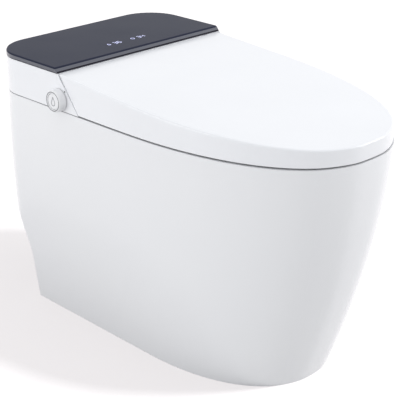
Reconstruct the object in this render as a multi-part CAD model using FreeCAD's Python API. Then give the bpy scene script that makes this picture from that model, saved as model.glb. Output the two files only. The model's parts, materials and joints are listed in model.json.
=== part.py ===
# Floor-standing smart toilet with a heated seat, a lid and a rear equipment unit. Millimetres.
# Origin: centre of the waste outlet in the floor. +Z up, the wall is at +Y, the user sits towards -Y.
import FreeCAD, Part
import math
import os

Vec = FreeCAD.Vector
X_AXIS = Vec(1, 0, 0)
Y_AXIS = Vec(0, 1, 0)
Z_AXIS = Vec(0, 0, 1)

# ---------------------------------------------------------------- overall sizes
RIM_WIDTH = 400.0           # across the rim and the lid
BASE_WIDTH = 313.0          # across the foot
ROUGH_IN = 305.0            # outlet centre to the rear plane
RIM_FRONT = 417.0           # outlet centre to the front of the rim
BASE_FRONT = 316.0          # outlet centre to the front of the foot
RIM_Z = 435.0               # floor to the ceramic rim
UNIT_H = 66.0               # rim to the top of the rear housing
PANEL_H = 10.0              # dark top panel with its frame

# ---------------------------------------------------------------- places across the width
BRACKET_INSET = 46.0        # inner face of the hinge brackets, in from the side
BRACKET_T = 12.0
ARM_T = 15.0                # seat arms
ARM_GAP = 3.0               # between a seat arm and its bracket
BOSS_T = 10.0               # lid bosses
BOSS_GAP = 3.0              # between a lid boss and its bracket
DRIVE_W = 36.0              # hinge drive, up to the bracket
LIP_GAP = 4.0               # between the lid's rear lip and the seat arm
TUB_GAP = 8.0               # between the equipment tub and the brackets
TUB_SEAT = 4.0              # play of the tub in the casting's bay
BOWL_INSET = 62.0
SEAT_INSET = 10.0           # seat's edge, in from the rim at its sides and front
SEAT_BAND = 84.0            # width of the seat's side
HEAT_INSET = 30.0           # heating film, in from the seat's edge
DECK_BOLT_INSET = 28.0
FAN_IN_X = 43.0             # inner side of the fan cases
FAN_GAP = 41.0              # between a fan case and the bracket
FAN_WALL_GAP = 6.0          # from the wheel to the outside of its case
BOARD_GAP = 9.0             # between a fan case and the board
RIM_HALF = RIM_WIDTH / 2
BRACKET_X = RIM_HALF - BRACKET_INSET
ARM_X = BRACKET_X - ARM_GAP - ARM_T
BOSS_X = BRACKET_X + BRACKET_T + BOSS_GAP
DRIVE_X = BRACKET_X - DRIVE_W
LIP_HALF = ARM_X - LIP_GAP
TUB_HALF = BRACKET_X - TUB_GAP
BAY_HALF = TUB_HALF + TUB_SEAT
BOWL_HALF = RIM_HALF - BOWL_INSET
SEAT_HALF = RIM_HALF - SEAT_INSET
SEAT_HOLE_HALF = SEAT_HALF - SEAT_BAND
HEAT_HALF = SEAT_HALF - HEAT_INSET
DECK_BOLT_X = RIM_HALF - DECK_BOLT_INSET
FAN_CASE_R = (BRACKET_X - FAN_GAP - FAN_IN_X) / 2
FAN_R = FAN_CASE_R - FAN_WALL_GAP
FAN_X = FAN_IN_X + FAN_CASE_R
BOARD_X = FAN_X + FAN_CASE_R + BOARD_GAP

# ---------------------------------------------------------------- places over the height
TUB_DROP = 177.0            # rim to the underside of the tub
SERVICE_UNDER = 26.0        # tub to the top of the service opening
TUB_Z = RIM_Z - TUB_DROP
SERVICE_HIGH = TUB_Z - SERVICE_UNDER

# ---------------------------------------------------------------- skirt shape
RIM_SHOULDER = -41.0        # where the straight side meets the rounded front, at the rim
BASE_SHOULDER = -56.7        # the same at the foot
RIM_POWER = 2.38            # fullness of the rounded front, at the rim
BASE_POWER = 2.27           # the same at the foot
WAIST_POWER = 0.26          # how much less full it is midway
FRONT_RISE = 1.67           # how the front leans out with height
SIDE_RISE = 1.63            # the same for the sides
RIM_CORNER = 72.0           # rear vertical corner radius at the rim
BASE_CORNER = 20.0          # the same at the foot, before the rear is cut back
REAR_KNEES = ((0.0, 232.0), (34.0, 168.0), (51.0, 105.0), (47.0, 0.0))   # (in from the wall, height)
REAR_BEND = 130.0           # radius at those knees
WALL = 12.0                 # ceramic wall
SKIRT_LEVELS = 5            # sections through the skirt

# ---------------------------------------------------------------- bowl and trapway
BOWL_FRONT_RIM = 55.0       # rim in front of the bowl
BOWL_FRONT = BOWL_FRONT_RIM - RIM_FRONT
BOWL_REAR = 20.0
SUMP_HALF = 29.0            # half width of the sump floor
SUMP_FRONT = -204.0
SUMP_REAR = -134.0
SUMP_Z = 120.0
BOWL_POWER = 2.3            # fullness of the bowl's oval
BOWL_NARROWING = 1.15       # how the bowl's half width, front and rear draw in with depth
BOWL_FRONT_DRAW = 1.5
BOWL_REAR_DRAW = 0.85
BOWL_LEVELS = 6
BOWL_LIP = 22.0             # straight band under the rim
BOWL_WALL = 11.0
TRAP_R = 26.0               # trapway passage radius
TRAP_WALL = 11.0
TRAP_START_Y = -192.0
TRAP_FOOT_Y = -130.0
TRAP_CREST_Y = -75.0
TRAP_CREST_Z = 235.0
TRAP_BEND = 42.0
OUTLET_R = 50.0
OUTLET_LEN = 45.0
OUTLET_WALL = 12.0
OUTLET_TAPER = 26.0
SEAL_LOW = 1.0
SEAL_H = 14.0
SEAL_BAND = 12.0
SEAL_GAP = 0.3
FLUSH_PORT_R = 12.0
FLUSH_PORT_Z = RIM_Z - 70.0

# ---------------------------------------------------------------- deck, bay and foot of the casting
BAY_FRONT = 122.0
BAY_REAR = 283.0
RECESS_HALF = 100.0         # recess behind the bowl for nozzles and ducts
RECESS_FRONT = -60.0        # the recess runs into the bowl
RECESS_REAR = 105.0
RECESS_Z = RIM_Z - 27.0
SERVICE_HALF = 105.0        # service opening in the rear wall
SERVICE_LOW = 62.0
LUG_SPACING = 200.0         # floor fixing lugs inside the foot
LUG_Y = 168.0
LUG_HALF = 20.0
LUG_H = 14.0
LUG_HOLE_R = 5.0
DECK_BOLT_R = 3.2
DECK_BOLT_YS = (142.0, 264.0)

# ---------------------------------------------------------------- upper unit
GASKET_H = 1.5
TRAY_H = 4.0
COVER_H = 3.0
SHELL = 2.6                 # moulded plastic wall
PART_TOP_Y = 110.0          # parting line between lid and housing, at the top
PART_LOW_Y = 56.7           # the same at the rim
HINGE_DROP = 8.9            # hinge axis below the top of the housing
HINGE_SETBACK = 9.0         # hinge axis in front of the parting line
LID_GAP_Y = 0.8
LID_GAP_Z = 0.6
LID_CLEAR = 0.6             # running gap between the lid's rear corner and the housing
LID_SKIRT_GAP = 3.0         # gap between lid skirt and rim
LID_SLOPE = 3.85            # degrees, lid top falls to the front
LID_DRAFT = 2.4             # lid side leans in over its height
LID_EDGE_R = 3.5
PIN_R = 2.25
RUNNING = 0.05              # radial running clearance
KNUCKLE_R = 4.6
NOSE_R = 4.6                # round nose of the hinge bracket

# ---------------------------------------------------------------- seat
SEAT_FRONT = SEAT_INSET - RIM_FRONT
SEAT_REAR = 46.0
SEAT_LOW = 5.0              # underside above the rim
SEAT_PLATE = 6.5
SEAT_TOP_FRONT = 25.0       # top above the rim, at the front
SEAT_TOP_REAR = 35.0        # top above the rim, at the rear
SEAT_NOSE = 67.0            # width of the seat's front
SEAT_HOLE_FRONT = SEAT_FRONT + SEAT_NOSE
SEAT_HOLE_REAR = -32.0
SEAT_FLARE = 11.0
BUMPER_CLEAR = 0.3

# ---------------------------------------------------------------- nozzles
NOZZLE_R = 6.0
NOZZLE_CLEAR = 0.35
NOZZLE_PITCH = 28.0
NOZZLE_SLOPE = 20.0         # degrees down towards the bowl
NOZZLE_TIP_Y = 40.0
NOZZLE_TIP_Z = RIM_Z - 8.4
NOZZLE_LEN = 108.0
RACK_HALF = 2.0             # toothed strip under each nozzle
RACK_H = 2.0
RACK_START = 16.0           # behind the tip
RACK_SUNK = 1.5
SPRAY_BACK = 4.0            # spray face, behind the round of the tip
SPRAY_R = 3.0
SPRAY_DEPTH = 1.5
SPRAY_HOLE_R = 0.5
SPRAY_HOLE_DEPTH = 2.0
SPRAY_CIRCLE = 1.6
WASH_HOLES = 4
FEMININE_HOLES = 6
CRADLE_FRONT = 8.0
CRADLE_BACK = 4.0           # past the nozzles' rear ends
CRADLE_WALL = 2.0
CRADLE_SIDE = 7.0
CRADLE_LEG_D = 14.0
CRADLE_LEG_H = 10.0
NOZZLE_MOTOR_X = 22.0
NOZZLE_MOTOR_BACK = 36.0    # behind the cradle's leg
NOZZLE_MOTOR_R = 13.0
NOZZLE_MOTOR_H = 19.0
PINION_R = 3.0
PINION_H = 9.0

# ---------------------------------------------------------------- ducts and fans
DUCT_IN_X = 44.0
DUCT_OUT_X = 86.0
DUCT_WALL = 2.0
DUCT_MOUTH_Y = 38.0
DUCT_MOUTH_LOW = RIM_Z - 18.5
DUCT_MOUTH_HIGH = RIM_Z - 1.5
FAN_Y = 196.0
FAN_CASE_H = 24.0
FAN_BLADES = 12
FLAP_T = 1.6

# ---------------------------------------------------------------- knob
KNOB_Y = 107.0
KNOB_Z = RIM_Z + 21.0
KNOB_R = 20.0
KNOB_REACH = 15.5
KNOB_GAP = 1.0
KNOB_FACE_R = 14.5
KNOB_HUB_R = 8.6
KNOB_STEM_R = 3.6
KNOB_CLEAR = 0.4
KNOB_WALL = 3.0
BUTTON_RECESS = 10.0        # depth of the ring's hollow that holds the button
BUTTON_T = 6.8
BUTTON_STEM_END = 11.0
KNOB_HUB_END = 9.0          # hub and stem end this far inside the housing
SWITCH_COLLAR_LEN = 17.0
SWITCH_R = 14.0
SWITCH_LEN = 12.0
SWITCH_FOOT_HALF = 8.0
SWITCH_FOOT_T = 10.0

# ---------------------------------------------------------------- electronics
BOARD_T = 1.6
BOARD_Y = 193.0
BOARD_W = 54.0
BOARD_D = 60.0
BOARD_EDGE = 4.0
BOARD_POST_H = 6.0
CONTROL_CHIPS = ((8, 8, 18, 18, 2.5), (32, 10, 14, 10, 12), (8, 32, 10, 20, 14), (26, 34, 20, 16, 6))
SUPPLY_H = 34.0
SUPPLY_FOOT_H = 0.5
SUPPLY_SLOTS = 8
SLOT_W = 3.0
DISPLAY_SETBACK = 36.0
DISPLAY_HALF = 60.0
DISPLAY_W = 34.0
DISPLAY_D = 14.0
DISPLAY_H = 4.4

# ---------------------------------------------------------------- fixings
BOLT_SLACK = 0.2
BOLT_HEAD_R = 6.0
BOLT_HEAD_H = 4.0
BOLT_NUT_R = 6.5
BOLT_NUT_H = 5.0
BOLT_UNDER_DECK = 6.0       # bolt end below the ceramic deck
GASKET_INSET = 1.5
GASKET_BAND = 9.0
SCREW_R = 1.6
SCREW_LEN = 20.0
SCREW_BOSS_R = 4.5
SCREW_FRONT = (26.0, 20.0)  # in from the side, behind the parting line
SCREW_REAR = (40.0, 40.0)   # in from the side, in from the wall
SCREW_PAD_R = 8.0

# ---------------------------------------------------------------- equipment places
TUB_FRONT = 126.0
TUB_REAR = 279.0
PUMP_X = 66.0
PUMP_Y = 208.0
HOSE_R = 10.0
HOSE_Z = TUB_Z + 20.0
HOSE_BEND_Y = 88.0
VALVE_X = 84.0
VALVE_Y = 256.0
VALVE_R = 15.0
VALVE_DROP = 62.0
INLET_R = 10.48             # G1/2 outside radius
INLET_LEN = 20.0
GLAND_X = -70.0
GLAND_Y = 265.0
GLAND_R = 8.0
GLAND_BORE_R = 4.5
HEATER_HALF = 52.0
HEATER_Y = 238.0
CRADLE_LEG_Y = 130.0
MOUTH_HALF = 94.0           # opening in the housing front for nozzles and ducts
MOUTH_TOP = RIM_Z + 17.0
BRACKET_SLACK = 0.6         # slot in the housing round each bracket
BRACKET_SLOT_BACK = 8.0
BRACKET_SLOT_DROP = 28.0
BRACKET_STEP = 10.0         # where the bracket's front edge drops behind the hinge axis
BRACKET_REACH = 52.0        # rear end of the bracket's foot
BRACKET_FOOT_H = 10.0
BRACKET_GUSSET = 24.0
BRACKET_NECK = 3.8          # half thickness behind the axis
DRIVE_FRONT = 18.0          # gear case behind the hinge axis
DRIVE_REAR = 62.0
DRIVE_HEADROOM = 6.0
DRIVE_MOTOR_R = 11.0
DRIVE_MOTOR_LEN = 26.0
DRIVE_MOTOR_UP = 16.0
FRAME_H = 7.5
SHADOW_GAP_H = 1.2          # dark line under the panel frame
SHADOW_GAP_IN = 1.5
FRAME_BAND = 14.0           # solid edge of the panel frame
FRAME_DECK = 2.5            # web of the frame that carries the glass
FRAME_RIBS = (-120.0, -80.0, 80.0, 120.0)
PANEL_BEVEL = 8.4
PANEL_CORNER_R = 1.5
PANEL_INSET = 1.5
COLLAR_R = 11.5
LAMP_HALF = 14.0
LAMP_Z = RIM_Z + 29.0
LAMP_H = 6.0
HEAT_FRONT_INSET = 22.0     # heating film, back from the seat's front
HEAT_FRONT = SEAT_FRONT + HEAT_FRONT_INSET
HEAT_REAR = 20.0
HEAT_BAND = 34.0
HEAT_H = 2.0
PAD_R = 7.0                 # rubber pads under the seat
PAD_DEPTH = 2.0             # how far they sit in it
PAD_REAR = (40.0, 106.0)    # in from the seat's side, forward from its rear
PAD_FRONT = (90.0, 77.0)    # in from the seat's side, back from its front
SEAT_PADS = ((SEAT_HALF - PAD_REAR[0], SEAT_REAR - PAD_REAR[1]),
             (SEAT_HALF - PAD_FRONT[0], SEAT_FRONT + PAD_FRONT[1]))
LID_PAD_R = 6.0
LID_PAD_CLEAR = 0.7
LID_PAD_FRONT = (70.0, 90.0)
LID_PAD_REAR = (40.0, 90.0)
LID_PADS = ((SEAT_HALF - LID_PAD_FRONT[0], SEAT_FRONT + LID_PAD_FRONT[1]),
            (SEAT_HALF - LID_PAD_REAR[0], SEAT_REAR - LID_PAD_REAR[1]))
FLAP_Y = 35.0
FLAP_Z = RIM_Z - 2.0
FLAP_PIN_R = 0.8
SHAFT_R = 2.0
CARBON_Y = 122.0

# ---------------------------------------------------------------- derived planes
DECK_Z = RIM_Z + GASKET_H
TRAY_TOP = DECK_Z + TRAY_H
FLOOR_Z = TRAY_TOP + COVER_H            # what the upper equipment stands on
UNIT_Z = RIM_Z + UNIT_H
PANEL_TOP = UNIT_Z + PANEL_H
HINGE_Y = PART_TOP_Y - HINGE_SETBACK
HINGE_Z = UNIT_Z - HINGE_DROP
LID_BACK_Y = PART_TOP_Y - LID_GAP_Y
LID_BACK_Z = UNIT_Z - LID_GAP_Z
LID_BARREL_R = math.hypot(LID_BACK_Y - HINGE_Y, LID_BACK_Z - HINGE_Z)
RELIEF_R = LID_BARREL_R + LID_CLEAR
LID_LOW_Z = RIM_Z + LID_SKIRT_GAP
PART_TILT = math.atan2(UNIT_H, PART_TOP_Y - PART_LOW_Y)


# ================================================================ helpers
def box(x0, x1, y0, y1, z0, z1):
    return Part.makeBox(x1 - x0, y1 - y0, z1 - z0, Vec(x0, y0, z0))


def rod(x, y, z, radius, length, axis=Z_AXIS):
    return Part.makeCylinder(radius, length, Vec(x, y, z), axis)


def pipe(x, y, z, outer, inner, length, axis=Z_AXIS):
    return rod(x, y, z, outer, length, axis).cut(rod(x, y, z, inner, length, axis))


def across(points, x0, x1):
    """Prism of a (y, z) polygon from x0 to x1."""
    corners = [Vec(x0, y, z) for y, z in points]
    return Part.Face(Part.makePolygon(corners + corners[:1])).extrude(Vec(x1 - x0, 0, 0))


def turned(points, y, z):
    """Solid of revolution of an (x, radius) polygon about the X line through y, z."""
    corners = [Vec(x, y, z + r) for x, r in points]
    face = Part.Face(Part.makePolygon(corners + corners[:1]))
    return face.revolve(Vec(0, y, z), X_AXIS, 360)


def mirrored(shape):
    return shape.mirror(Vec(0, 0, 0), X_AXIS)


def both_sides(shape):
    return Part.makeCompound([shape, mirrored(shape)])


def fused(shapes):
    whole = shapes[0]
    for shape in shapes[1:]:
        whole = whole.fuse(shape)
    return whole.removeSplitter()


def quarter(half, y_mid, y_end, power, z, side):
    """Quarter of a superellipse from the side (half, y_mid) to the centre line at y_end."""
    steps = 8
    points = []
    for i in range(steps + 1):
        turn = math.pi / 2 * i / steps
        across_x = half * math.cos(turn) ** (2 / power) if i < steps else 0.0
        points.append(Vec(side * across_x, y_mid + (y_end - y_mid) * math.sin(turn) ** (2 / power), z))
    curve = Part.BSplineCurve()
    forward = 1 if y_end > y_mid else -1
    curve.interpolate(Points=points, InitialTangent=Vec(0, forward, 0), FinalTangent=Vec(-side, 0, 0))
    return curve.toShape()


def u_wire(z, half, front, rear, shoulder, power, corner):
    """Closed outline: rounded front, straight sides, straight rear with round corners."""
    knee = corner * (1 - math.sqrt(0.5))
    edges = []
    for side in (1, -1):
        edges.append(quarter(half, shoulder, front, power, z, side))
        start = Vec(side * half, shoulder, z)
        bend = Vec(side * half, rear - corner, z)
        edges.append(Part.makeLine(start, bend))
        middle = Vec(side * (half - knee), rear - knee, z)
        flat = Vec(side * (half - corner), rear, z)
        edges.append(Part.Arc(bend, middle, flat).toShape())
    edges.append(Part.makeLine(Vec(half - corner, rear, z), Vec(corner - half, rear, z)))
    return Part.Wire(Part.__sortEdges__(edges))


def egg_wire(z, half, front, rear, power):
    """Closed oval outline with its widest place midway."""
    middle = (front + rear) / 2
    edges = [quarter(half, middle, end, power, z, side) for side in (1, -1) for end in (front, rear)]
    return Part.Wire(Part.__sortEdges__(edges))


def prism(wire, height):
    return Part.Face(wire).extrude(Vec(0, 0, height))


def tube_path(points, bend):
    """Straight runs joined by tangent arcs."""
    edges = []
    start = points[0]
    for before, here, after in zip(points, points[1:], points[2:]):
        arrive = (here - before).normalize()
        leave = (after - here).normalize()
        turn = arrive.getAngle(leave)
        reach = bend * math.tan(turn / 2)
        first = here - arrive * reach
        last = here + leave * reach
        inward = (leave - arrive).normalize()
        middle = here + inward * (bend / math.cos(turn / 2) - bend)
        edges.append(Part.makeLine(start, first))
        edges.append(Part.Arc(first, middle, last).toShape())
        start = last
    edges.append(Part.makeLine(start, points[-1]))
    return Part.Wire(edges)


def tube(points, radius, bend):
    path = tube_path(points, bend)
    along = (points[1] - points[0]).normalize()
    ring = Part.Wire(Part.makeCircle(radius, points[0], along))
    return path.makePipeShell([ring], True, False)


def hose(points, radius, bore, bend):
    return tube(points, radius, bend).cut(tube(points, bore, bend))


def part_line_y(z):
    """Where the slanted parting line between lid and housing is at height z."""
    return PART_LOW_Y + (PART_TOP_Y - PART_LOW_Y) * (z - RIM_Z) / UNIT_H


def behind_line(shift, z0, z1, half):
    """Everything behind the slanted parting plane, moved back by shift."""
    far = ROUGH_IN + 50
    return across([(part_line_y(z0) + shift, z0), (far, z0), (far, z1), (part_line_y(z1) + shift, z1)],
                  -half, half)


def nozzle_frame(shape):
    """From the nozzle's own frame (tip at the origin, axis along -Y) to its slanted place."""
    placed = shape.copy()
    placed.rotate(Vec(0, 0, 0), X_AXIS, NOZZLE_SLOPE)
    placed.translate(Vec(0, NOZZLE_TIP_Y, NOZZLE_TIP_Z))
    return placed


# ================================================================ ceramic body
def skirt_wire(z, inset):
    """Outline of the ceramic at height z, moved inwards by inset."""
    up = z / RIM_Z
    half = BASE_WIDTH / 2 + (RIM_HALF - BASE_WIDTH / 2) * (1 - (1 - up) ** SIDE_RISE)
    front = -(BASE_FRONT + (RIM_FRONT - BASE_FRONT) * (1 - (1 - up) ** FRONT_RISE))
    shoulder = BASE_SHOULDER + (RIM_SHOULDER - BASE_SHOULDER) * up
    power = BASE_POWER + (RIM_POWER - BASE_POWER) * up - WAIST_POWER * up * (1 - up)
    corner = BASE_CORNER + (RIM_CORNER - BASE_CORNER) * up
    return u_wire(z, half - inset, front + inset, ROUGH_IN - inset, shoulder, power, corner - inset)


def cut_back(inset):
    """Space behind the rear profile, which leans in towards the foot."""
    points = [Vec(-RIM_WIDTH, ROUGH_IN - depth - inset, z) for depth, z in REAR_KNEES]
    points = [points[0] + Vec(0, 0, 60)] + points[:-1] + [points[-1] + (points[-1] - points[-2]) * 0.1]
    far = ROUGH_IN + 60
    back = [points[-1], Vec(-RIM_WIDTH, far, points[-1].z), Vec(-RIM_WIDTH, far, points[0].z), points[0]]
    profile = Part.Wire(tube_path(points, REAR_BEND).Edges + Part.makePolygon(back).Edges)
    return Part.Face(profile).extrude(Vec(2 * RIM_WIDTH, 0, 0))


def skirt_solid(top, inset):
    wires = [skirt_wire(top * i / (SKIRT_LEVELS - 1), inset) for i in range(SKIRT_LEVELS)]
    return Part.makeLoft(wires, True, False).cut(cut_back(inset))


def bowl_solid(grow, top):
    """Inside of the bowl, or with grow its outer shell."""
    wires = [egg_wire(top, BOWL_HALF + grow, BOWL_FRONT - grow, BOWL_REAR + grow, BOWL_POWER)]
    lip_z = RIM_Z - BOWL_LIP
    floor_z = SUMP_Z - grow
    for i in range(BOWL_LEVELS):
        down = i / (BOWL_LEVELS - 1)
        half = BOWL_HALF + (SUMP_HALF - BOWL_HALF) * down ** BOWL_NARROWING + grow
        front = BOWL_FRONT + (SUMP_FRONT - BOWL_FRONT) * down ** BOWL_FRONT_DRAW - grow
        rear = BOWL_REAR + (SUMP_REAR - BOWL_REAR) * down ** BOWL_REAR_DRAW + grow
        wires.append(egg_wire(lip_z + (floor_z - lip_z) * down, half, front, rear, BOWL_POWER))
    return Part.makeLoft(wires, True, False)


def trapway(radius, outlet_radius, taper):
    """The siphon passage, or its outer shell, down to the outlet socket."""
    corners = [(TRAP_START_Y, SUMP_Z + TRAP_R), (TRAP_FOOT_Y, SUMP_Z + TRAP_R),
               (TRAP_CREST_Y, TRAP_CREST_Z), (0, TRAP_CREST_Z), (0, OUTLET_LEN)]
    passage = tube([Vec(0, y, z) for y, z in corners], radius, TRAP_BEND)
    cone = Part.makeCone(outlet_radius, radius, taper, Vec(0, 0, OUTLET_LEN), Z_AXIS)
    socket = rod(0, 0, 0, outlet_radius, OUTLET_LEN)
    return fused([passage, cone, socket])


def ceramic_body():
    outer = skirt_solid(RIM_Z, 0)
    cavity = skirt_solid(RIM_Z - WALL, WALL)
    lug = box(-LUG_HALF, LUG_HALF, LUG_Y - LUG_HALF, ROUGH_IN, 0, LUG_H)
    lug.translate(Vec(LUG_SPACING / 2, 0, 0))
    recess_half = RECESS_HALF + WALL
    recess_shell = box(-recess_half, recess_half, RECESS_FRONT, RECESS_REAR + WALL, RECESS_Z - WALL, RIM_Z)
    kept = [bowl_solid(BOWL_WALL, RIM_Z), trapway(TRAP_R + TRAP_WALL, OUTLET_R + OUTLET_WALL, OUTLET_TAPER),
            recess_shell, lug, mirrored(lug)]
    for shape in kept:
        cavity = cavity.cut(shape)
    body = outer.cut(cavity)
    openings = [bowl_solid(0, RIM_Z), trapway(TRAP_R, OUTLET_R, OUTLET_TAPER),
                box(-RECESS_HALF, RECESS_HALF, RECESS_FRONT, RECESS_REAR, RECESS_Z, RIM_Z + 1),
                box(-BAY_HALF, BAY_HALF, BAY_FRONT, BAY_REAR, RIM_Z - 2 * WALL, RIM_Z + 1),
                box(-SERVICE_HALF, SERVICE_HALF, LUG_Y + LUG_HALF, ROUGH_IN + 1, SERVICE_LOW, SERVICE_HIGH),
                rod(0, BOWL_REAR - 60, FLUSH_PORT_Z, FLUSH_PORT_R, 90, Y_AXIS)]
    for side in (1, -1):
        openings.append(rod(side * LUG_SPACING / 2, LUG_Y, -1, LUG_HOLE_R, LUG_H + 2))
        for y in DECK_BOLT_YS:
            openings.append(rod(side * DECK_BOLT_X, y, RIM_Z - 2 * WALL, DECK_BOLT_R, 3 * WALL))
    for shape in openings:
        body = body.cut(shape)
    return body


def outlet_seal():
    socket_r = OUTLET_R + OUTLET_WALL
    return pipe(0, 0, SEAL_LOW, socket_r + SEAL_BAND, socket_r + SEAL_GAP, SEAL_H)


# ================================================================ upper unit: outlines
def unit_wire(z, inset, front_y):
    """Outline of the rear unit at height z: straight across at front_y, round rear corners."""
    half = RIM_HALF - inset
    rear = ROUGH_IN - inset
    corner = RIM_CORNER - inset
    knee = corner * (1 - math.sqrt(0.5))
    edges = [Part.makeLine(Vec(half, front_y, z), Vec(-half, front_y, z)),
             Part.makeLine(Vec(half - corner, rear, z), Vec(corner - half, rear, z))]
    for side in (1, -1):
        bend = Vec(side * half, rear - corner, z)
        middle = Vec(side * (half - knee), rear - knee, z)
        edges.append(Part.makeLine(Vec(side * half, front_y, z), bend))
        edges.append(Part.Arc(bend, middle, Vec(side * (half - corner), rear, z)).toShape())
    return Part.Wire(Part.__sortEdges__(edges))


def hinge_rod(radius, x0, x1):
    return rod(x0, HINGE_Y, HINGE_Z, radius, x1 - x0, X_AXIS)


def rim_gasket():
    ring = prism(unit_wire(RIM_Z, GASKET_INSET, PART_LOW_Y + 2.5), GASKET_H)
    return ring.cut(prism(unit_wire(RIM_Z, GASKET_INSET + GASKET_BAND, 0), GASKET_H))


def chassis_tray():
    edge = 2 * SHELL
    plate = prism(unit_wire(DECK_Z, edge, PART_LOW_Y + 12), TRAY_H)
    plate = plate.cut(box(-RECESS_HALF + 4, RECESS_HALF - 4, 0, RECESS_REAR + 8, DECK_Z, TRAY_TOP))
    tub = box(-TUB_HALF, TUB_HALF, TUB_FRONT, TUB_REAR, TUB_Z, TRAY_TOP)
    inside = box(SHELL - TUB_HALF, TUB_HALF - SHELL, TUB_FRONT + SHELL, TUB_REAR - SHELL,
                 TUB_Z + SHELL, TRAY_TOP + 1)
    tray = plate.fuse(tub).cut(inside)
    tray = tray.cut(rod(PUMP_X, TUB_FRONT - 1, HOSE_Z, HOSE_R + 0.5, SHELL + 2, Y_AXIS))
    tray = tray.cut(rod(VALVE_X, VALVE_Y, TUB_Z - 1, VALVE_R - 4, SHELL + 2))
    tray = tray.cut(rod(GLAND_X, GLAND_Y, TUB_Z - 1, GLAND_R, SHELL + 2))
    for side in (1, -1):
        for y in DECK_BOLT_YS:
            tray = tray.cut(rod(side * DECK_BOLT_X, y, DECK_Z - 1, DECK_BOLT_R, TRAY_H + 2))
    return tray


def chassis_bolts():
    low = RIM_Z - WALL - BOLT_UNDER_DECK
    shank_r = DECK_BOLT_R - BOLT_SLACK
    bolts = []
    for side in (1, -1):
        for y in DECK_BOLT_YS:
            x = side * DECK_BOLT_X
            shank = rod(x, y, low, shank_r, TRAY_TOP - low)
            head = rod(x, y, TRAY_TOP, BOLT_HEAD_R, BOLT_HEAD_H)
            nut = pipe(x, y, RIM_Z - WALL - BOLT_NUT_H, BOLT_NUT_R, shank_r, BOLT_NUT_H)
            bolts.append(shank.fuse(head).fuse(nut))
    return Part.makeCompound(bolts)


def tub_cover():
    cover = box(-TUB_HALF - 6, TUB_HALF + 6, RECESS_REAR + 14, TUB_REAR + 5, TRAY_TOP, FLOOR_Z)
    cover = cover.cut(rod(VALVE_X, VALVE_Y, TRAY_TOP - 1, HOSE_R + 1, COVER_H + 2))
    return cover


def housing_shell():
    outer = prism(unit_wire(DECK_Z, 0, -50), UNIT_Z - DECK_Z)
    outer = outer.common(behind_line(0, DECK_Z, UNIT_Z, RIM_HALF + 1))
    outer = outer.cut(hinge_rod(RELIEF_R, -RIM_HALF - 1, RIM_HALF + 1))
    inner = prism(unit_wire(DECK_Z - 1, SHELL, -50), UNIT_Z - DECK_Z + 2)
    inner = inner.common(behind_line(SHELL / math.cos(PART_TILT), DECK_Z - 1, UNIT_Z + 1, RIM_HALF + 1))
    inner = inner.cut(hinge_rod(RELIEF_R + SHELL, -RIM_HALF - 1, RIM_HALF + 1))
    shell = outer.cut(inner)
    mouth = box(-MOUTH_HALF, MOUTH_HALF, 0, PART_TOP_Y, DECK_Z - 1, MOUTH_TOP)
    shell = shell.cut(mouth)
    slot = box(BRACKET_X - BRACKET_SLACK, BRACKET_X + BRACKET_T + BRACKET_SLACK, PART_LOW_Y,
               HINGE_Y + RELIEF_R + BRACKET_SLOT_BACK, HINGE_Z - BRACKET_SLOT_DROP, UNIT_Z + 1)
    shell = shell.cut(slot).cut(mirrored(slot))
    return shell.cut(rod(-RIM_HALF - 1, KNOB_Y, KNOB_Z, COLLAR_R, SHELL + 2, X_AXIS))


def lamp_window():
    return box(-LAMP_HALF, LAMP_HALF, PART_LOW_Y, PART_TOP_Y, LAMP_Z, LAMP_Z + LAMP_H)


def rear_housing():
    return housing_shell().cut(lamp_window())


def night_light():
    return housing_shell().common(lamp_window())


def screw_places():
    """Centres of the four bosses that hold the housing and the panel frame down."""
    places = [(RIM_HALF - SCREW_FRONT[0], PART_TOP_Y + SCREW_FRONT[1]),
              (RIM_HALF - SCREW_REAR[0], ROUGH_IN - SCREW_REAR[1])]
    return [(side * x, y) for side in (1, -1) for x, y in places]


def housing_screws():
    screws = []
    for x, y in screw_places():
        boss = pipe(x, y, TRAY_TOP, SCREW_BOSS_R, SCREW_R, UNIT_Z - TRAY_TOP)
        screws.append(boss.fuse(rod(x, y, UNIT_Z - SCREW_LEN, SCREW_R, SCREW_LEN)))
    return Part.makeCompound(screws)


def panel_frame():
    foot = prism(unit_wire(UNIT_Z, SHADOW_GAP_IN, PART_TOP_Y + SHADOW_GAP_IN), SHADOW_GAP_H)
    band = prism(unit_wire(UNIT_Z + SHADOW_GAP_H, 0, PART_TOP_Y), FRAME_H - SHADOW_GAP_H)
    frame = foot.fuse(band).cut(bevel_cut())
    hollow = prism(unit_wire(UNIT_Z, FRAME_BAND, PART_TOP_Y + FRAME_BAND), FRAME_H - FRAME_DECK)
    for x, y in screw_places():
        hollow = hollow.cut(rod(x, y, UNIT_Z, SCREW_PAD_R, FRAME_H))
    for x in FRAME_RIBS:
        hollow = hollow.cut(box(x - SHELL / 2, x + SHELL / 2, PART_TOP_Y, ROUGH_IN, UNIT_Z, UNIT_Z + FRAME_H))
    return round_front_corners(frame.cut(hollow))


def round_front_corners(shape):
    """Small radius on the two upright edges where the sloping front meets the sides."""
    edges = [edge for edge in shape.Edges
             if edge.BoundBox.YMax < PART_TOP_Y + PANEL_BEVEL + 1 and edge.BoundBox.ZLength > 2
             and abs(edge.CenterOfMass.x) > RIM_HALF - PANEL_INSET - 0.5 and edge.BoundBox.XLength < 2]
    return shape.makeFillet(PANEL_CORNER_R, edges)


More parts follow.
